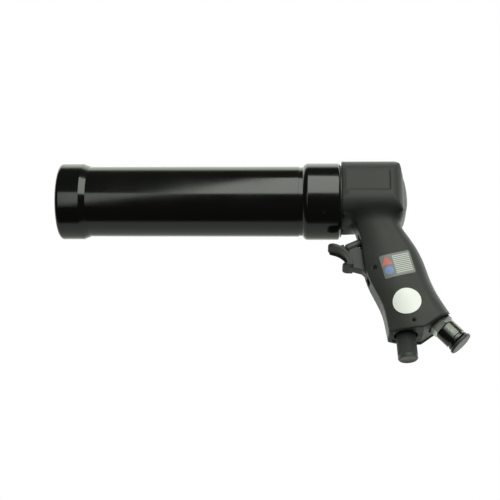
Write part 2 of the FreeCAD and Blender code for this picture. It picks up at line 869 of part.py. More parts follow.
# ---------------------------------------------------------------- trigger and valve


def valve_spot(ahead, aside):
    """A point of the side view, ahead along the valve's axis and aside across it."""
    lean = "valve_tilt * 1 deg"
    return (
        f"valve_x + ({ahead}) * cos({lean}) - ({aside}) * sin({lean})",
        f"valve_z + ({ahead}) * sin({lean}) + ({aside}) * cos({lean})",
    )


def trigger():
    """Finger plate curved about an axis in front of it, on a web that swings in the handle's slot."""
    body = new_body("trigger_blank")
    middle = ("plate_x", "plate_z")
    disc = new_sketch(body, "plate_disc", "XZ_Plane")
    draw_circle(disc, *middle, "plate_r + plate_rim")
    padded(body, disc, "plate_pad", "trigger_width", symmetric=True)
    boss = new_sketch(body, "plate_boss", "XZ_Plane")
    draw(boss, [
        valve_spot("-boss_root", "-stem_r"),
        valve_spot("-stem_out - boss_gap", "-stem_r"),
        valve_spot("-stem_out - boss_gap", "stem_r"),
        valve_spot("-boss_root", "stem_r"),
    ])
    padded(body, boss, "plate_boss_pad", "2 * stem_r", symmetric=True)
    hollow = new_sketch(body, "plate_hollow", "XZ_Plane")
    draw_circle(hollow, *middle, "plate_r")
    pocketed(body, hollow, "plate_hollow_cut", "2 * trigger_width", symmetric=True)
    dish = new_sketch(body, "plate_dish", "XZ_Plane")
    draw_circle(dish, *middle, "plate_r + trigger_dish")
    pocketed(body, dish, "plate_dish_cut", "trigger_width - 2 * trigger_rim", symmetric=True)
    end = new_sketch(body, "plate_end", "XZ_Plane")
    reach = "2 * plate_r"
    draw(end, [
        (f"plate_x - {reach}", f"plate_z + {reach}"),
        (f"plate_x - {reach}", f"plate_z - {reach}"),
        (f"plate_x + {reach}", f"plate_z - {reach}"),
        (f"plate_x + {reach}", "plate_z - plate_foot_drop"),
        ("plate_x - plate_tip", "plate_z - plate_foot_drop"),
        ("plate_x - plate_tip", f"plate_z + {reach}"),
    ])
    pocketed(body, end, "plate_end_cut", "2 * trigger_width", symmetric=True)
    tip, half, curve = "plate_x - plate_tip", "trigger_width / 2", "plate_tip_round"
    trimmed(body, "plate_plan", "XY_Plane", [
        (tip, f"-{half} + {curve}", quarter(curve)),
        (f"{tip} + {curve}", f"-{half}"),
        ("trigger_pin_x", f"-{half}"),
        ("trigger_pin_x", half),
        (f"{tip} + {curve}", half, quarter(curve)),
        (tip, f"{half} - {curve}"),
    ])
    foot = new_sketch(body, "trigger_foot", "XY_Plane", "plate_z - plate_foot_drop")
    toe, heel = "plate_x + foot_front", "plate_x + plate_r + 0.7 * plate_rim"
    draw(foot, [
        (toe, f"-{half} + {curve}", quarter(curve)),
        (f"{toe} + {curve}", f"-{half}"),
        (heel, f"-{half}"),
        (heel, half),
        (f"{toe} + {curve}", half, quarter(curve)),
        (toe, f"{half} - {curve}"),
    ])
    padded(body, foot, "foot_pad", "foot_high")
    web = new_sketch(body, "trigger_web_side", "XZ_Plane")
    draw(web, [
        ("plate_x + plate_r - web_overlap", "plate_z + web_top"),
        ("plate_x + plate_r - web_overlap", "plate_z - plate_foot_drop"),
        ("trigger_pin_x - 2.5 * web_eye_r", "trigger_pin_z + 0.6 * web_eye_r"),
        ("trigger_pin_x - 1.4 * web_eye_r", "trigger_pin_z - 0.6 * web_eye_r"),
        ("trigger_pin_x", "trigger_pin_z - web_eye_r", "web_eye_r"),
        ("trigger_pin_x", "trigger_pin_z + web_eye_r"),
        ("trigger_pin_x - 0.5 * web_back_reach", "trigger_pin_z + web_back_high"),
        ("trigger_pin_x - web_back_reach", "trigger_pin_z + web_back_top"),
        valve_spot("-0.35 * stem_out", "-web_below_stem"),
        valve_spot("-0.95 * stem_out", "-web_below_stem"),
    ])
    padded(body, web, "trigger_web_pad", "trigger_web", symmetric=True)
    groove = new_sketch(body, "stem_groove", "XZ_Plane")
    draw(groove, [
        valve_spot("-stem_out - boss_gap", "-stem_groove_low"),
        valve_spot("bore_spare", "-stem_groove_low"),
        valve_spot("bore_spare", "stem_groove_low"),
        valve_spot("-stem_out - boss_gap", "stem_groove_low"),
    ])
    pocketed(body, groove, "stem_groove_cut", "2 * stem_r + stem_groove_spare", symmetric=True)
    hole = new_sketch(body, "trigger_pivot", "XZ_Plane")
    draw_circle(hole, "trigger_pin_x", "trigger_pin_z", "pin_r")
    pocketed(body, hole, "trigger_pivot_hole", "2 * trigger_width", symmetric=True)
    settle(body, "head")
    return body


def valve_sleeve():
    """Brass bush screwed into the handle, which guides the stem and carries the valve's seat."""
    blank = turned("sleeve_blank", "valve", [
        ("sleeve_front", "stem_r + stem_gap"),
        ("sleeve_guide", "stem_r + stem_gap"),
        ("sleeve_guide", "sleeve_bore_r"),
        ("sleeve_long", "sleeve_bore_r"),
        ("sleeve_long", "valve_r"),
        ("sleeve_seal_at + sleeve_seal", "valve_r"),
        ("sleeve_seal_at + sleeve_seal", "valve_r - sleeve_seal_deep"),
        ("sleeve_seal_at", "valve_r - sleeve_seal_deep"),
        ("sleeve_seal_at", "valve_r"),
        ("sleeve_front", "valve_r"),
    ])
    return cut_from("sleeve_bored", blank, drop_port("sleeve_port"))


def sleeve_o_ring():
    """Seal in the sleeve's groove."""
    return turned("sleeve_seal_ring", "valve", [
        ("sleeve_seal_at", "valve_r - sleeve_seal_deep"),
        ("sleeve_seal_at + sleeve_seal", "valve_r - sleeve_seal_deep"),
        ("sleeve_seal_at + sleeve_seal", "valve_r"),
        ("sleeve_seal_at", "valve_r"),
    ])


def valve_stem():
    """Push rod with a chamfered front end and the valve's poppet at the back."""
    seat = "sleeve_long + poppet_seal + stem_gap"
    return turned("stem", "valve", [
        ("-stem_out", "0"),
        ("-stem_out", "stem_r - stem_chamfer"),
        ("-stem_out + stem_chamfer", "stem_r"),
        (seat, "stem_r"),
        (seat, "poppet_r"),
        (f"{seat} + poppet_thick", "poppet_r"),
        (f"{seat} + poppet_thick", "0"),
    ])


def poppet_seal():
    """Rubber face that closes on the sleeve's end."""
    return turned("poppet_face", "valve", [
        ("sleeve_long + stem_gap", "stem_r"),
        ("sleeve_long + stem_gap + poppet_seal", "stem_r"),
        ("sleeve_long + stem_gap + poppet_seal", "poppet_r"),
        ("sleeve_long + stem_gap", "poppet_r"),
    ])


def valve_spring():
    """Coil spring between the poppet and the end of the valve's bore."""
    body = new_body("spring_body")
    start = "sleeve_long + stem_gap + poppet_seal + poppet_thick + valve_wire_r"
    sketch = new_sketch(body, "spring_wire", "XZ_Plane")
    draw_circle(sketch, start, "valve_coil_r", "valve_wire_r")
    coil = body.newObject("PartDesign::AdditiveHelix", "spring_coil")
    coil.Profile = sketch
    coil.ReferenceAxis = (sketch, ["H_Axis"])
    coil.Mode = "height-turns-angle"
    bind(coil, "Height", f"valve_deep - valve_wire_r - ({start})")
    bind(coil, "Turns", "valve_turns")
    settle(body, "valve")
    return body


# ---------------------------------------------------------------- base block and throttle


def base_block():
    """Metal block in the foot of the grip, with the throttle's and the inlet's bores."""
    core = shared("block_core", grip_solid("grip_core", "base_wall + base_fit"), block_zone("block_zone"))
    shank_end = "-inlet_recess_deep - inlet_shank_long"
    cavities = fused("block_cavities", [
        below_base("under_block", "base_step"),
        rod("knob_recess", "knob", "-knob_recess_deep", "knob_recess_deep", "knob_recess_r"),
        rod("throttle_bore", "knob", "-throttle_deep", "0", "bonnet_r"),
        rod("throttle_exit", "knob", "-block_high - duct_overlap", "-0.9 * throttle_deep", "air_r"),
        rod("inlet_pit_block", "inlet", "-inlet_recess_deep", "2 * inlet_recess_deep", "inlet_recess_r"),
        rod("inlet_thread", "inlet", shank_end, "0", "inlet_shank_r"),
        rod("inlet_way", "inlet", f"{shank_end} - inlet_way_long", "0", "air_r"),
        cross_port(),
        base_pin_holes("block_pin_holes"),
    ])
    return cut_from("block", core, cavities)


def cross_port():
    """Drilled way from the inlet's bore to the throttle's bore."""
    port = rod("cross_port", "head", "knob_x", "inlet_x - cross_port_short", "cross_port_r")
    bind(port, "Placement.Base.z", "-grip_length + throttle_deep - cross_port_drop")
    return port


def throttle_bonnet():
    """Brass bush that the knob's stem is screwed through."""
    return turned("bonnet", "knob", [
        ("-knob_recess_deep - bonnet_long", "knob_stem_r + plug_fit"),
        ("-knob_recess_deep", "knob_stem_r + plug_fit"),
        ("-knob_recess_deep", "bonnet_r"),
        ("-knob_recess_deep - bonnet_long", "bonnet_r"),
    ])


def throttle_knob():
    """Round knob with its stem in one piece."""
    return turned("knob", "knob", [
        ("-knob_stem_end", "0"),
        ("-knob_stem_end", "knob_stem_r"),
        ("-knob_neck_end", "knob_stem_r"),
        ("-knob_neck_end", "knob_neck_r"),
        ("-knob_skirt", "knob_neck_r"),
        ("-knob_skirt", "knob_r"),
        ("knob_out - knob_chamfer", "knob_r"),
        ("knob_out", "knob_r - knob_chamfer"),
        ("knob_out", "0"),
    ])


def throttle_plug():
    """Plug that the knob moves along the throttle's bore without turning it."""
    near = "-knob_stem_end - throttle_gap"
    far = f"({near}) - plug_long"
    low = "bonnet_r - plug_fit - plug_seal_deep"
    return turned("plug", "knob", [
        (near, "0"),
        (near, "bonnet_r - plug_fit"),
        (f"{near} - plug_seal_at", "bonnet_r - plug_fit"),
        (f"{near} - plug_seal_at", low),
        (f"{near} - plug_seal_at - plug_seal", low),
        (f"{near} - plug_seal_at - plug_seal", "bonnet_r - plug_fit"),
        (f"{far} + plug_cone", "bonnet_r - plug_fit"),
        (far, "bonnet_r - plug_fit - plug_cone"),
        (far, "0"),
    ])


def plug_o_ring():
    near = "-knob_stem_end - throttle_gap - plug_seal_at"
    return turned("plug_seal_ring", "knob", [
        (near, "bonnet_r - plug_fit - plug_seal_deep"),
        (near, "bonnet_r - plug_fit"),
        (f"{near} - plug_seal", "bonnet_r - plug_fit"),
        (f"{near} - plug_seal", "bonnet_r - plug_fit - plug_seal_deep"),
    ])


# ---------------------------------------------------------------- air inlet


def inlet_washer():
    """Flat seal under the hexagon bush."""
    return turned("bush_washer", "inlet", [
        ("-inlet_recess_deep", "inlet_shank_r"),
        ("-inlet_recess_deep + inlet_washer", "inlet_shank_r"),
        ("-inlet_recess_deep + inlet_washer", "inlet_flat / 2"),
        ("-inlet_recess_deep", "inlet_flat / 2"),
    ])


def inlet_bush():
    """Hexagon bush screwed into the base block, with its corners turned off at both ends."""
    low, high = "-inlet_recess_deep + inlet_washer", "inlet_hex_end"
    body = new_body("bush_hexagon")
    hexagonal = new_sketch(body, "bush_outline", "YZ_Plane", low)
    draw(hexagonal, hexagon("inlet_flat"))
    padded(body, hexagonal, "bush_pad", f"{high} - ({low})")
    settle(body, "inlet")
    corner = "inlet_flat / 2 / cos(30 deg)"
    round_off = turned("bush_rounding", "inlet", [
        (low, "0"),
        (low, "inlet_flat / 2"),
        (f"{low} + hex_chamfer", corner),
        (f"{high} - hex_chamfer", corner),
        (high, "inlet_flat / 2"),
        (high, "0"),
    ])
    shank = rod("bush_shank", "inlet", "-inlet_recess_deep - inlet_shank_long", "0", "inlet_shank_r")
    solid = fused("bush_solid", [shared("bush_head", body, round_off), shank])
    bore = rod("bush_bore", "inlet", "-2 * inlet_shank_long", "2 * inlet_hex_end", "air_r")
    return cut_from("bush", solid, bore)


def inlet_body():
    """Turned inlet with a groove behind its end collar and a threaded mouth."""
    start, end = "inlet_hex_end", "inlet_body_end"
    mouth = f"{end} - inlet_thread_long"
    groove = "inlet_groove_at"
    edge = "inlet_edge"
    return turned("coupling", "inlet", [
        (start, "air_r"),
        (mouth, "air_r"),
        (mouth, "inlet_thread_r"),
        (end, "inlet_thread_r"),
        (end, f"inlet_body_r - {edge}"),
        (f"{end} - {edge}", "inlet_body_r"),
        (f"{groove} + inlet_groove", "inlet_body_r"),
        (f"{groove} + inlet_groove", "inlet_body_r - inlet_groove_deep"),
        (groove, "inlet_body_r - inlet_groove_deep"),
        (groove, "inlet_body_r"),
        (f"{start} + {edge}", "inlet_body_r"),
        (start, f"inlet_body_r - {edge}"),
    ])


def inlet_filter():
    """Disc of mesh at the bottom of the inlet's thread."""
    mouth = "inlet_body_end - inlet_thread_long"
    return turned("filter_disc", "inlet", [
        (mouth, "0"),
        (mouth, "inlet_thread_r - dust_fit"),
        (f"{mouth} + filter_thick", "inlet_thread_r - dust_fit"),
        (f"{mouth} + filter_thick", "0"),
    ])


def dust_plug():
    """Push-in plug with a flange, which keeps dirt out of the inlet."""
    face = "inlet_body_end + dust_gap"
    shank = "inlet_thread_r - dust_fit"
    edge = "inlet_edge"
    wall = "dust_wall"
    return turned("plug_cap", "inlet", [
        (f"{face} - dust_long", f"{shank} - {wall}"),
        (f"{face} - dust_long", shank),
        (face, shank),
        (face, f"dust_flange_r - {edge}"),
        (f"{face} + {edge}", "dust_flange_r"),
        (f"{face} + dust_flange - {edge}", "dust_flange_r"),
        (f"{face} + dust_flange", f"dust_flange_r - {edge}"),
        (f"{face} + dust_flange", "0"),
        (f"{face} + dust_flange - {wall}", "0"),
        (f"{face} + dust_flange - {wall}", f"{shank} - {wall}"),
    ])


# ---------------------------------------------------------------- build, check and write

MAKERS = [
    front_cap, cap_washer, barrel_tube, tube_gasket, rear_ring, ring_lock_screw,
    head_adapter, adapter_o_ring, cone_seal, seal_bolt,
    handle_housing, trigger, trigger_pin,
    valve_sleeve, sleeve_o_ring, valve_stem, poppet_seal, valve_spring,
    base_block, base_pins, throttle_bonnet, throttle_knob, throttle_plug, plug_o_ring,
    inlet_washer, inlet_bush, inlet_body, inlet_filter, dust_plug,
    info_label, round_sticker,
]
pieces = {maker.__name__: maker() for maker in MAKERS}
doc.recompute()

for thing in doc.Objects:
    if {"Invalid", "Error"} & set(thing.State):
        raise RuntimeError(f"{thing.Label} failed: {thing.State}")
for label, piece in pieces.items():
    if piece.Shape.isNull() or not piece.Shape.isValid() or not piece.Shape.Solids:
        raise RuntimeError(f"{label} has no valid solid")

os.makedirs("parts", exist_ok=True)
for label, piece in pieces.items():
    piece.Label = label
    piece.Shape.exportStep(f"parts/{label}.step")
    print(f"{label}: {len(piece.Shape.Solids)} solid(s), {piece.Shape.Volume:.0f} mm3")
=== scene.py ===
import json
import math

import bmesh
import bpy
import numpy as np
from mathutils import Matrix, Vector
from mathutils.kdtree import KDTree


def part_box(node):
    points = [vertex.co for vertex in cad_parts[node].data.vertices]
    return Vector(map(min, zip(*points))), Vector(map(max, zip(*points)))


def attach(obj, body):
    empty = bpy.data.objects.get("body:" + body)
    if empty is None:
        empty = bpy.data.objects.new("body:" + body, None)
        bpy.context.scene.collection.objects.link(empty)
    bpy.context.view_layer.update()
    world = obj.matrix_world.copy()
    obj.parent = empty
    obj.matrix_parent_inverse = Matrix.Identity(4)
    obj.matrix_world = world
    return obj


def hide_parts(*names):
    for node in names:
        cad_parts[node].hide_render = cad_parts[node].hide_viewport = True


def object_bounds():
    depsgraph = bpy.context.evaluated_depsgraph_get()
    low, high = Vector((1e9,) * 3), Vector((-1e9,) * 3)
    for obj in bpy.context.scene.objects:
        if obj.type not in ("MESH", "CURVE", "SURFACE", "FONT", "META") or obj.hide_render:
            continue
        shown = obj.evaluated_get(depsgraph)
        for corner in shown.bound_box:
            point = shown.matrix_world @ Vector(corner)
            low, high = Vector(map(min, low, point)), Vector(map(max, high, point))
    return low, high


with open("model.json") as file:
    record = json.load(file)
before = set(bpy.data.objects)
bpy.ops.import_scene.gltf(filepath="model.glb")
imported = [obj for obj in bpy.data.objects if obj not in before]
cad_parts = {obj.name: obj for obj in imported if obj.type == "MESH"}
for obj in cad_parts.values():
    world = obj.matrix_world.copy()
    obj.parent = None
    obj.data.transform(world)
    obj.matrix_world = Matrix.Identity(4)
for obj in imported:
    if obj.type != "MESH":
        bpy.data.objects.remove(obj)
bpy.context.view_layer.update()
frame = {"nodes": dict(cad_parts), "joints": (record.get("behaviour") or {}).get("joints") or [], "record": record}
NODES = frame["nodes"]
MM = 0.001

JOINTS = {joint["name"]: joint for joint in frame["joints"]}
KNOB_ORIGIN = Vector(JOINTS["knob_turn"]["pos_m"])
KNOB_AXIS = Vector(JOINTS["knob_turn"]["axis"]).normalized()
HEAD_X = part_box("handle_housing")[0].x

# ---------------------------------------------------------------- materials


class Surface:
    """One procedural material: a Principled shader with a small set of node helpers."""

    def __init__(self, name, **sockets):
        self.material = bpy.data.materials.new(name)
        self.material.use_nodes = True
        self.tree = self.material.node_tree
        self.shader = self.tree.nodes["Principled BSDF"]
        for socket, value in sockets.items():
            self.shader.inputs[socket.replace("_", " ")].default_value = value
        self.place = self.tree.nodes.new("ShaderNodeTexCoord").outputs["Object"]

    def node(self, kind, settings=(), **inputs):
        made = self.tree.nodes.new("ShaderNode" + kind)
        for key, value in dict(settings).items():
            setattr(made, key, value)
        for socket, value in inputs.items():
            self.feed(made.inputs[socket.replace("_", " ")], value)
        return made

    def feed(self, socket, value):
        if isinstance(value, bpy.types.NodeSocket):
            self.tree.links.new(value, socket)
        else:
            socket.default_value = value

    def maths(self, operation, *values):
        made = self.tree.nodes.new("ShaderNodeMath")
        made.operation = operation
        for socket, value in zip(made.inputs, values):
            self.feed(socket, value)
        return made.outputs[0]

    def stretched(self, across, turn=(0, 0, 0)):
        """The object's coordinates, scaled by a vector after a turn."""
        made = self.node("Mapping", Vector=self.place, Scale=across, Rotation=turn)
        return made.outputs[0]

    def noise(self, scale, detail=4.0, roughness=0.55, place=None):
        made = self.node("TexNoise", Vector=place or self.place, Scale=scale, Detail=detail,
                         Roughness=roughness)
        return made.outputs["Fac"]

    def spread(self, value, low, high, start=0.3, end=0.7):
        """Maps a value between start and end to low and high."""
        made = self.node("MapRange", Value=value, From_Min=start, From_Max=end, To_Min=low, To_Max=high)
        return made.outputs[0]

    def blend(self, share, first, second):
        made = self.node("Mix", {"data_type": "RGBA"})
        self.feed(made.inputs[0], share)
        self.feed(made.inputs[6], first)
        self.feed(made.inputs[7], second)
        return made.outputs[2]

    def edges(self, low=0.52, high=0.60):
        """How much of an outer edge a point lies on."""
        made = self.tree.nodes.new("ShaderNodeNewGeometry")
        return self.spread(made.outputs["Pointiness"], 0.0, 1.0, low, high)

    def relief(self, height, distance, strength=1.0, under=None):
        made = self.node("Bump", Height=height, Distance=distance, Strength=strength)
        if under is not None:
            self.feed(made.inputs["Normal"], under)
        return made.outputs[0]

    def colour(self, value):
        self.feed(self.shader.inputs["Base Color"], value)

    def rough(self, value):
        self.feed(self.shader.inputs["Roughness"], value)

    def normal(self, value):
        self.feed(self.shader.inputs["Normal"], value)


def shade(red, green, blue):
    return (red, green, blue, 1.0)


def tinted(base, factor):
    """A colour scaled by a factor, no brighter than white."""
    return tuple(min(1.0, factor * value) for value in base[:3]) + (1.0,)


def gloss_paint(name, base, roughness):
    """Sprayed gloss paint: faint orange peel, smears that dull it a little, hairline scratches and a painted
    highlight along its edges.
    """
    surface = Surface(name, Specular_IOR_Level=0.5)
    smear = surface.noise(28.0, 5.0, 0.6)
    dust = surface.noise(2600.0, 2.0)
    hair = surface.noise(60.0, 6.0, 0.7, surface.stretched((1.0, 26.0, 26.0), (0.0, 0.12, 0.3)))
    scratches = surface.spread(hair, 0.0, 1.0, 0.66, 0.72)
    # painted highlight: convex edges are mixed towards a much lighter grey where the smear noise lets them
    wear_and_edge_highlight = surface.maths("MULTIPLY", surface.edges(), surface.spread(smear, 0.1, 0.5))
    smeared = surface.blend(surface.spread(smear, 0.0, 0.35), base, tinted(base, 1.6))
    surface.colour(surface.blend(wear_and_edge_highlight, smeared, tinted(base, 4.0)))
    dulled = surface.maths("ADD", surface.spread(smear, roughness * 0.8, roughness * 1.35),
                           surface.spread(dust, 0.0, 0.03))
    surface.rough(surface.maths("ADD", dulled, surface.maths("MULTIPLY", scratches, 0.05)))
    orange = surface.noise(420.0, 2.0)
    surface.normal(surface.relief(orange, 0.00001, 0.35))
    return surface.material


def moulded_polymer(name, base, roughness, grain=1500.0, depth=0.00006):
    """Moulded polymer with an eroded grain, faint blotches and a painted highlight that makes its edges a little
    lighter.
    """
    surface = Surface(name, Specular_IOR_Level=0.25)
    voronoi = surface.node("TexVoronoi", {"feature": "F1"}, Vector=surface.place, Scale=grain)
    cells = voronoi.outputs["Distance"]
    fine = surface.noise(grain * 1.7, 3.0, 0.6)
    blotch = surface.noise(45.0, 4.0, 0.6)
    light = tinted(base, 1.35)
    body = surface.blend(surface.spread(blotch, 0.0, 1.0), tinted(base, 0.8), base)
    speckled = surface.blend(surface.spread(fine, 0.0, 0.6, 0.45, 0.75), body, light)
    # painted highlight: convex edges are mixed half way towards the lighter tone
    surface.colour(surface.blend(surface.maths("MULTIPLY", surface.edges(), 0.5), speckled, light))
    surface.rough(surface.maths("ADD", surface.spread(blotch, roughness - 0.05, roughness + 0.05),
                                surface.spread(fine, -0.04, 0.06)))
    coarse = surface.relief(cells, depth, 0.55)
    surface.normal(surface.relief(fine, depth * 0.6, 0.5, coarse))
    return surface.material


def turned_metal(name, base, roughness, metallic=1.0):
    """Machined metal with tool lines square to the barrel, faint stains and a painted highlight along its edges.
    """
    surface = Surface(name, Metallic=metallic)
    tool = surface.noise(2600.0, 2.0, 0.5, surface.stretched((1.0, 0.03, 0.03)))
    stain = surface.noise(120.0, 5.0, 0.6)
    body = surface.blend(surface.spread(stain, 0.0, 1.0, 0.35, 0.75), base, tinted(base, 0.6))
    # painted highlight: convex edges are mixed towards a lighter copy of the base colour
    edge_highlight = surface.maths("MULTIPLY", surface.edges(), 0.6)
    surface.colour(surface.blend(edge_highlight, body, tinted(base, 1.25)))
    surface.rough(surface.maths("ADD", surface.spread(tool, roughness - 0.04, roughness + 0.06),
                                surface.spread(stain, 0.0, 0.08)))
    surface.normal(surface.relief(tool, 0.000012, 0.5))
    return surface.material


def rubber(name, base):
    surface = Surface(name, Specular_IOR_Level=0.3)
    bloom = surface.noise(90.0, 5.0, 0.65)
    fine = surface.noise(3000.0, 3.0)
    surface.colour(surface.blend(surface.spread(bloom, 0.0, 0.6), base, tinted(base, 2.0)))
    surface.rough(surface.spread(bloom, 0.62, 0.8))
    surface.normal(surface.relief(fine, 0.00002, 0.5))
    return surface.material


# ---------------------------------------------------------------- the label's plain shapes

LABEL_CENTRE = (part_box("info_label")[0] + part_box("info_label")[1]) / 2
LABEL_LEAN = math.radians(13.5)


def label_print(name):
    """Grey film with a plain red triangle, a plain blue disc and pale rules.

    Places on it are millimetres from its centre.
    """
    surface = Surface(name, Roughness=0.42, Specular_IOR_Level=0.5)
    parts = surface.node("SeparateXYZ", Vector=surface.place)
    across = surface.maths("MULTIPLY", surface.maths("SUBTRACT", parts.outputs[0], LABEL_CENTRE.x), 1 / MM)
    up = surface.maths("MULTIPLY", surface.maths("SUBTRACT", parts.outputs[2], LABEL_CENTRE.z), 1 / MM)
    cosine, sine = math.cos(LABEL_LEAN), math.sin(LABEL_LEAN)
    along = surface.maths("ADD", surface.maths("MULTIPLY", across, cosine),
                          surface.maths("MULTIPLY", up, sine))
    high = surface.maths("SUBTRACT", surface.maths("MULTIPLY", up, cosine),
                         surface.maths("MULTIPLY", across, sine))

    def within(value, low, high_end, soft=0.12):
        rise = surface.spread(value, 0.0, 1.0, low - soft, low + soft)
        fall = surface.spread(value, 1.0, 0.0, high_end - soft, high_end + soft)
        return surface.maths("MULTIPLY", rise, fall)

    def both(first, second):
        return surface.maths("MULTIPLY", first, second)

    triangle_x, triangle_foot, triangle_high, triangle_half = -7.0, 1.2, 7.2, 4.0
    rise = surface.maths("SUBTRACT", high, triangle_foot)
    narrow = surface.maths("MULTIPLY", rise, triangle_half / triangle_high)
    from_middle = surface.maths("ABSOLUTE", surface.maths("SUBTRACT", along, triangle_x))
    inside = surface.maths("ADD", from_middle, narrow)
    triangle_top = triangle_foot + triangle_high
    triangle = both(within(inside, -9.0, triangle_half), within(high, triangle_foot, triangle_top))

    disc_x, disc_up, disc_r = -6.9, -3.4, 3.3
    to_disc_x = surface.maths("SUBTRACT", along, disc_x)
    to_disc_up = surface.maths("SUBTRACT", high, disc_up)
    square = surface.maths("ADD", surface.maths("MULTIPLY", to_disc_x, to_disc_x),
                           surface.maths("MULTIPLY", to_disc_up, to_disc_up))
    disc = within(surface.maths("SQRT", square), -1.0, disc_r)

    rule_pitch = 1.55
    phase = surface.maths("FRACT", surface.maths("DIVIDE", surface.maths("ADD", high, 40.0), rule_pitch))
    rules = both(within(phase, 0.2, 0.72, 0.1), both(within(along, -2.2, 10.2), within(high, -8.0, 8.1)))

    print_wear = surface.noise(900.0, 3.0)
    wear_and_edge_highlight = surface.spread(print_wear, 0.0, 0.5)
    grey = surface.blend(wear_and_edge_highlight, shade(0.15, 0.16, 0.15), shade(0.20, 0.21, 0.20))
    ruled = surface.blend(surface.maths("MULTIPLY", rules, 0.85), grey, shade(0.62, 0.64, 0.60))
    red = surface.blend(triangle, ruled, shade(0.60, 0.13, 0.11))
    surface.colour(surface.blend(disc, red, shade(0.17, 0.24, 0.52)))
    surface.rough(surface.spread(print_wear, 0.36, 0.5))
    surface.normal(surface.relief(print_wear, 0.00001, 0.3))
    return surface.material


def sticker_film(name):
    surface = Surface(name, Specular_IOR_Level=0.45)
    fibre = surface.noise(700.0, 4.0)
    mottle = surface.spread(fibre, 0.0, 1.0)
    surface.colour(surface.blend(mottle, shade(0.93, 0.94, 0.92), shade(0.97, 0.97, 0.96)))
    surface.rough(surface.spread(fibre, 0.4, 0.55))
    surface.normal(surface.relief(fibre, 0.00001, 0.3))
    return surface.material


BLACK = shade(0.0032, 0.0034, 0.0032)
POLYMER = shade(0.040, 0.042, 0.039)
MATERIALS = {
    "paint": gloss_paint("paint_gloss_black", BLACK, 0.13),
    "fitting": turned_metal("fitting_black_chrome", shade(0.095, 0.10, 0.092), 0.2),
    "polymer": moulded_polymer("polymer_eroded", POLYMER, 0.52, 1300.0, 0.0001),
    "lever": moulded_polymer("polymer_lever", shade(0.042, 0.044, 0.041), 0.44, 2200.0, 0.00003),
    "knob": moulded_polymer("knob_eroded", shade(0.055, 0.058, 0.054), 0.42, 2400.0, 0.00002),
    "nylon": moulded_polymer("nylon_black", shade(0.03, 0.03, 0.03), 0.5, 2400.0, 0.00002),
    "cover": moulded_polymer("cover_grey", shade(0.05, 0.052, 0.049), 0.36, 2600.0, 0.00001),
    "steel": turned_metal("steel_plated", shade(0.55, 0.57, 0.54), 0.3),
    "dark_steel": turned_metal("steel_blackened", shade(0.10, 0.105, 0.10), 0.34),
    "stem": moulded_polymer("stem_acetal", shade(0.075, 0.078, 0.073), 0.38, 2400.0, 0.00001),
    "pin": moulded_polymer("pin_blackened", shade(0.003, 0.003, 0.003), 0.8, 2600.0, 0.00001),
    # painted light: the knob's down-facing end face gets a much lighter copy of the knob's polymer
    "knob_face_lit": moulded_polymer("knob_end_face_lit", shade(0.17, 0.178, 0.166), 0.4, 2600.0, 0.00001),
    "block": turned_metal("block_anodised", shade(0.03, 0.032, 0.029), 0.42, 0.5),
    "brass": turned_metal("brass_turned", shade(0.62, 0.44, 0.18), 0.28),
    "sleeve": turned_metal("sleeve_blackened_brass", shade(0.05, 0.045, 0.03), 0.4),
    "rubber": rubber("rubber_black", shade(0.016, 0.016, 0.016)),
    "label": label_print("film_label"),
    "sticker": sticker_film("film_white"),
}
FINISH = {
    "front_cap": "paint", "barrel_tube": "paint", "rear_ring": "paint", "cap_washer": "nylon",
    "tube_gasket": "rubber", "ring_lock_screw": "dark_steel", "head_adapter": "block",
    "adapter_o_ring": "rubber", "cone_seal": "rubber", "seal_bolt": "steel",
    "handle_housing": "polymer", "trigger": "lever", "trigger_pin": "pin",
    "valve_sleeve": "sleeve", "sleeve_o_ring": "rubber", "valve_stem": "stem", "poppet_seal": "rubber",
    "valve_spring": "steel", "base_block": "block", "base_pins": "pin",
    "throttle_bonnet": "brass", "throttle_knob": "knob", "throttle_plug": "brass", "plug_o_ring": "rubber",
    "inlet_washer": "rubber", "inlet_bush": "steel", "inlet_body": "fitting", "inlet_filter": "steel",
    "dust_plug": "cover", "info_label": "label", "round_sticker": "sticker",
}

# ---------------------------------------------------------------- meshes


def applied(piece):
    """Replaces a piece's mesh by what its modifiers make of it."""
    bpy.context.view_layer.update()
    evaluated = piece.evaluated_get(bpy.context.evaluated_depsgraph_get())
    mesh = bpy.data.meshes.new_from_object(evaluated)
    piece.modifiers.clear()
    piece.data = mesh
    return piece


def smooth_by_angle(mesh, angle):
    """Smooth shading with edges sharper than an angle kept sharp."""
    bm = bmesh.new()
    bm.from_mesh(mesh)
    for face in bm.faces:
        face.smooth = True
    for edge in bm.edges:
        edge.smooth = len(edge.link_faces) == 2 and edge.calc_face_angle(0.0) < math.radians(angle)
    bm.to_mesh(mesh)
    bm.free()


def welded_copy(node, name):
    """A new piece with a CAD node's shape, its flat faces in one piece each."""
    bm = bmesh.new()
    bm.from_mesh(NODES[node].data)
    bmesh.ops.remove_doubles(bm, verts=bm.verts, dist=1e-6)
    bmesh.ops.dissolve_limit(bm, angle_limit=math.radians(0.15), verts=bm.verts, edges=bm.edges)
    mesh = bpy.data.meshes.new(name)
    bm.to_mesh(mesh)
    bm.free()
    piece = bpy.data.objects.new(name, mesh)
    bpy.context.scene.collection.objects.link(piece)
    return piece


def body_name(node):
    for body, members in frame["record"]["behaviour"]["bodies"].items():
        if node in members:
            return body


def stands_for(piece, node):
    """Gives a finished piece its material and body, and hides the CAD node it stands for."""
    piece.data.materials.clear()
    piece.data.materials.append(MATERIALS[FINISH[node]])
    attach(piece, body_name(node))
    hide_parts(node)
    return piece


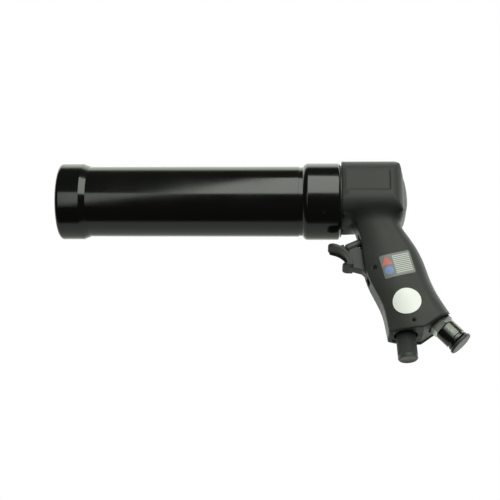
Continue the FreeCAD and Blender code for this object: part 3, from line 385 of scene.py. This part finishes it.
def edged(node, width, segments=3):
    """A copy of a CAD node with every sharp edge rounded by a width in millimetres."""
    piece = welded_copy(node, node + "_visual")
    bevel = piece.modifiers.new("edges", "BEVEL")
    bevel.width = width * MM
    bevel.segments = segments
    bevel.limit_method = "ANGLE"
    bevel.angle_limit = math.radians(16)
    bevel.use_clamp_overlap = True
    bevel.miter_outer = "MITER_ARC"
    applied(piece)
    for polygon in piece.data.polygons:
        polygon.use_smooth = True
    piece.modifiers.new("shading", "WEIGHTED_NORMAL").weight = 100
    applied(piece)
    return stands_for(piece, node)


def crease_points(node, inside):
    """Middles of a CAD node's hollow edges that a test lets in."""
    bm = bmesh.new()
    bm.from_mesh(NODES[node].data)
    bmesh.ops.remove_doubles(bm, verts=bm.verts, dist=1e-6)
    bm.normal_update()
    found = []
    for edge in bm.edges:
        if len(edge.link_faces) == 2 and edge.calc_face_angle_signed(0.0) < -0.3:
            middle = (edge.verts[0].co + edge.verts[1].co) / 2
            if inside(middle):
                found.append(middle.copy())
    bm.free()
    return found


def relaxed(mesh, weights, rounds):
    """Moves each vertex towards the mean of its neighbours by its weight, over and over."""
    count = len(mesh.vertices)
    place = np.empty(count * 3)
    mesh.vertices.foreach_get("co", place)
    place = place.reshape(-1, 3)
    ends = np.empty(len(mesh.edges) * 2, np.int64)
    mesh.edges.foreach_get("vertices", ends)
    ends = ends.reshape(-1, 2)
    live = weights > 0
    ends = ends[live[ends[:, 0]] | live[ends[:, 1]]]
    to, fro = np.concatenate((ends[:, 0], ends[:, 1])), np.concatenate((ends[:, 1], ends[:, 0]))
    keep = live[to]
    to, fro = to[keep], fro[keep]
    number = np.maximum(np.bincount(to, minlength=count), 1)
    for _ in range(rounds):
        for axis in range(3):
            mean = np.bincount(to, weights=place[fro, axis], minlength=count) / number
            moved = place[:, axis] + weights * (mean - place[:, axis])
            place[:, axis] = np.where(live, moved, place[:, axis])
    mesh.vertices.foreach_set("co", place.reshape(-1))
    mesh.update()


def remeshed(node, voxel, rounds):
    """A copy of a CAD node remade in small even faces and relaxed all over, as a moulding's edges are."""
    piece = welded_copy(node, node + "_visual")
    remesh = piece.modifiers.new("remesh", "REMESH")
    remesh.mode = "VOXEL"
    remesh.voxel_size = voxel * MM
    applied(piece)
    relaxed(piece.data, np.full(len(piece.data.vertices), 0.5), rounds)
    for polygon in piece.data.polygons:
        polygon.use_smooth = True
    return piece


def handle():
    """The moulded handle, with the grip flowing into the head."""
    piece = remeshed("handle_housing", 0.6, 4)
    front, back = HEAD_X + 6 * MM, HEAD_X + 56 * MM
    crease_low, crease_high = -36 * MM, -14 * MM
    slot_side, slot_back = 7.5 * MM, HEAD_X + 30 * MM
    reach_down, reach_up = -42 * MM, -8 * MM

    def at_junction(point):
        clear_of_slot = abs(point.y) > slot_side or point.x > slot_back
        return front < point.x < back and crease_low < point.z < crease_high and clear_of_slot

    crease = crease_points("handle_housing", at_junction)
    tree = KDTree(max(1, len(crease)))
    for index, point in enumerate(crease):
        tree.insert(point, index)
    tree.balance()
    weights = np.zeros(len(piece.data.vertices))
    near, far = 4.0 * MM, 9.0 * MM
    for vertex in piece.data.vertices:
        if crease and reach_down < vertex.co.z < reach_up:
            distance = tree.find(vertex.co)[2]
            weights[vertex.index] = min(1.0, max(0.0, (far - distance) / (far - near))) * 0.8
    relaxed(piece.data, weights, 160)
    return stands_for(piece, "handle_housing")


def lever():
    """The trigger with soft moulded edges."""
    piece = remeshed("trigger", 0.28, 5)
    return stands_for(piece, "trigger")


def frame_matrix(origin, axis):
    """A turning frame whose own X points along an axis."""
    side = Vector((0, 1, 0))
    third = axis.cross(side).normalized()
    return Matrix.Translation(origin) @ Matrix((axis, side, third)).transposed().to_4x4()


def lathe(name, profile, matrix, segments, ripple=None):
    """A closed turned mesh from (along, radius) points in millimetres, with a ripple of its radius."""
    verts, faces = [], []
    rows = len(profile)
    for along, radius in profile:
        for step in range(segments):
            angle = 2 * math.pi * step / segments
            reach = radius + (ripple(along, radius, angle) if ripple else 0.0)
            verts.append(matrix @ (Vector((along, reach * math.cos(angle), reach * math.sin(angle))) * MM))
    for row in range(rows - 1):
        for step in range(segments):
            a, b = row * segments + step, row * segments + (step + 1) % segments
            faces.append((a, b, b + segments, a + segments))
    faces.append(tuple(range(segments))[::-1])
    faces.append(tuple(range((rows - 1) * segments, rows * segments)))
    mesh = bpy.data.meshes.new(name)
    mesh.from_pydata([tuple(v) for v in verts], [], faces)
    mesh.validate()
    bm = bmesh.new()
    bm.from_mesh(mesh)
    bmesh.ops.recalc_face_normals(bm, faces=bm.faces)
    bm.to_mesh(mesh)
    bm.free()
    piece = bpy.data.objects.new(name, mesh)
    bpy.context.scene.collection.objects.link(piece)
    return piece


def knurled_knob():
    """The throttle knob with diamond knurling between two plain bands."""
    knob_r, out, chamfer = 7.25, 18.2, 1.0
    stem_r, stem_end, neck_r, neck_end, skirt = 4.0, 13.0, 5.6, 5.2, 2.0
    start, end, depth, ridges = 0.0, out - 2.6, 0.28, 44
    step = 0.2

    def knurl(along, radius, angle):
        if radius < knob_r - 0.01 or not start < along < end:
            return 0.0
        fade = min(1.0, (along - start) / 0.6, (end - along) / 0.6)
        turns = along * ridges / (2 * math.pi * knob_r)
        first = abs(math.sin(0.5 * ridges * (angle + turns * 2 * math.pi / ridges)))
        second = abs(math.sin(0.5 * ridges * (angle - turns * 2 * math.pi / ridges)))
        return -depth * fade * (1.0 - min(1.0, 1.6 * min(first, second)))

    stem_edge, neck_edge, skirt_edge = 0.4, 0.2, 0.5
    rows = [
        (-stem_end, stem_r - stem_edge), (-stem_end + stem_edge, stem_r), (-neck_end, stem_r),
        (-neck_end, neck_r - neck_edge), (-neck_end + neck_edge, neck_r), (-skirt, neck_r),
        (-skirt, knob_r - skirt_edge), (-skirt + 0.3 * skirt_edge, knob_r - 0.3 * skirt_edge),
        (-skirt + skirt_edge, knob_r),
    ]
    count = int((end - start) / step)
    rows += [(start + (end - start) * index / count, knob_r) for index in range(count + 1)]
    dish, lip, centre_r = 0.25, 0.6, 0.5
    rows += [
        (out - chamfer, knob_r), (out - 0.7 * chamfer, knob_r - 0.1), (out - 0.1, knob_r - 0.7 * chamfer),
        (out, knob_r - chamfer), (out, knob_r - chamfer - lip),
        (out - dish, knob_r - chamfer - lip - 0.4), (out - dish, centre_r),
    ]
    segments = 528
    piece = lathe("throttle_knob_visual", rows, frame_matrix(KNOB_ORIGIN, KNOB_AXIS), segments, knurl)
    smooth_by_angle(piece.data, 40)
    stands_for(piece, "throttle_knob")
    # painted light on the end face: a lighter copy of the knob's polymer
    piece.data.materials.append(MATERIALS["knob_face_lit"])
    for polygon in piece.data.polygons:
        if (polygon.center - KNOB_ORIGIN).dot(KNOB_AXIS) > (out - 0.75 * chamfer) * MM:
            polygon.material_index = 1
    return piece


# ---------------------------------------------------------------- build

EDGES = {
    "front_cap": 0.5, "cap_washer": 0.2, "barrel_tube": 0.12, "rear_ring": 0.35, "ring_lock_screw": 0.12,
    "head_adapter": 0.3, "cone_seal": 0.8, "seal_bolt": 0.35, "trigger_pin": 0.2, "valve_sleeve": 0.15,
    "valve_stem": 0.25, "base_block": 0.25, "base_pins": 0.2, "inlet_bush": 0.35, "inlet_body": 0.3,
    "inlet_filter": 0.1, "dust_plug": 0.35, "throttle_bonnet": 0.15,
}
handle()
lever()
knurled_knob()
for node, width in EDGES.items():
    edged(node, width)
MADE = {"handle_housing", "trigger", "throttle_knob", *EDGES}
for node, thing in NODES.items():
    if node not in MADE:
        thing.data.materials.clear()
        thing.data.materials.append(MATERIALS[FINISH[node]])

# ---------------------------------------------------------------- studio

low_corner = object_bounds()[0]
FLOOR_DROP = 0.36
FLOOR_REACH = 6.0
floor_mesh = bpy.data.meshes.new("floor")
floor_corners = [(FLOOR_REACH * x, FLOOR_REACH * y, 0) for x, y in ((-1, -1), (1, -1), (1, 1), (-1, 1))]
floor_mesh.from_pydata(floor_corners, [], [(0, 1, 2, 3)])
floor = bpy.data.objects.new("floor", floor_mesh)
floor.location.z = low_corner.z - FLOOR_DROP
bpy.context.scene.collection.objects.link(floor)
floor_surface = Surface("floor_pale", Specular_IOR_Level=0.2)
floor_tone = floor_surface.spread(floor_surface.noise(3.0, 2.0), 0.0, 1.0)
floor_surface.colour(floor_surface.blend(floor_tone, shade(0.86, 0.86, 0.85), shade(0.9, 0.9, 0.89)))
floor_surface.rough(0.8)
floor_mesh.materials.append(floor_surface.material)
floor.visible_glossy = False
floor.visible_diffuse = False

LIGHT_TINT = shade(0.94, 1.0, 0.90)
world = bpy.data.worlds.new("studio")
bpy.context.scene.world = world
world.use_nodes = True
tree = world.node_tree
tree.nodes.clear()
output = tree.nodes.new("ShaderNodeOutputWorld")
mix = tree.nodes.new("ShaderNodeMixShader")
seen = tree.nodes.new("ShaderNodeBackground")
seen.inputs["Color"].default_value = shade(1.0, 1.0, 1.0)
room = tree.nodes.new("ShaderNodeBackground")
room.inputs["Color"].default_value = LIGHT_TINT
paths = tree.nodes.new("ShaderNodeLightPath")
direction = tree.nodes.new("ShaderNodeTexCoord")
split = tree.nodes.new("ShaderNodeSeparateXYZ")
tree.links.new(direction.outputs["Generated"], split.inputs[0])


def wall(from_y, to_y, dark, bright):
    """A pale wall behind the object, which starts as the direction's Y passes between two values."""
    span = tree.nodes.new("ShaderNodeMapRange")
    for socket, value in zip(("From Min", "From Max", "To Min", "To Max"), (from_y, to_y, dark, bright)):
        span.inputs[socket].default_value = value
    tree.links.new(split.outputs["Y"], span.inputs["Value"])
    return span.outputs[0]


# The lower wall gives way to the upper one as the direction's Z rises.
upward = tree.nodes.new("ShaderNodeMapRange")
for socket, value in zip(("From Min", "From Max"), (-0.2, 0.5)):
    upward.inputs[socket].default_value = value
tree.links.new(split.outputs["Z"], upward.inputs["Value"])
join = tree.nodes.new("ShaderNodeMix")
tree.links.new(upward.outputs[0], join.inputs[0])
tree.links.new(wall(0.08, 0.20, 0.05, 0.66), join.inputs[2])
tree.links.new(wall(-0.06, 0.12, 0.05, 2.4), join.inputs[3])
tree.links.new(join.outputs[0], room.inputs["Strength"])
tree.links.new(paths.outputs["Is Camera Ray"], mix.inputs[0])
tree.links.new(room.outputs[0], mix.inputs[1])
tree.links.new(seen.outputs[0], mix.inputs[2])
tree.links.new(mix.outputs[0], output.inputs[0])


def soft_box(name, corners, distance, radiance):
    """A flat glowing screen on the near side of the barrel, which only lights and reflects.

    Its corners are (along the barrel in metres, angle above the horizontal as seen from the barrel).
    """
    middle = math.radians(sum(angle for _, angle in corners) / len(corners))
    out = Vector((0, -math.cos(middle), math.sin(middle)))
    rise = Vector((0, math.sin(middle), math.cos(middle)))
    spots = [Vector((along, 0, 0)) + distance * (out + rise * math.tan(math.radians(angle) - middle))
             for along, angle in corners]
    mesh = bpy.data.meshes.new(name)
    mesh.from_pydata([tuple(spot) for spot in spots], [], [tuple(range(len(spots)))])
    screen = bpy.data.objects.new(name, mesh)
    bpy.context.scene.collection.objects.link(screen)
    glow = bpy.data.materials.new(name)
    glow.use_nodes = True
    glow.node_tree.nodes.clear()
    emission = glow.node_tree.nodes.new("ShaderNodeEmission")
    emission.inputs["Color"].default_value = LIGHT_TINT
    emission.inputs["Strength"].default_value = radiance
    end = glow.node_tree.nodes.new("ShaderNodeOutputMaterial")
    glow.node_tree.links.new(emission.outputs[0], end.inputs["Surface"])
    mesh.materials.append(glow)
    screen.visible_camera = False
    return screen


SCREEN_DISTANCE = 1.2
soft_box("key", [(-0.065, -5), (1.05, -5), (1.05, 51), (0.12, 51)], SCREEN_DISTANCE, 4.6)
soft_box("low_panel", [(-0.30, -2), (-0.30, -48), (-0.05, -4)], SCREEN_DISTANCE, 2.4)

# ---------------------------------------------------------------- camera

# The camera stands below the barrel on its near side, and looks up at it and a little towards the muzzle.
EYE = Vector((0.19218, -0.79274, -0.45769))
AIM = Vector((-45.0, 811.5, 425.1)).normalized()
UP_HINT = Vector((0.0, -0.5, 0.866))
camera_data = bpy.data.cameras.new("camera")
camera_data.lens = 85.13
camera_data.sensor_width = 36.0
camera_data.clip_start = 0.05
camera = bpy.data.objects.new("camera", camera_data)
right = AIM.cross(UP_HINT).normalized()
upright = right.cross(AIM).normalized()
camera.matrix_world = Matrix.Translation(EYE) @ Matrix((right, upright, -AIM)).transposed().to_4x4()
bpy.context.scene.collection.objects.link(camera)
bpy.context.scene.camera = camera
bpy.context.scene.view_settings.view_transform = "Standard"
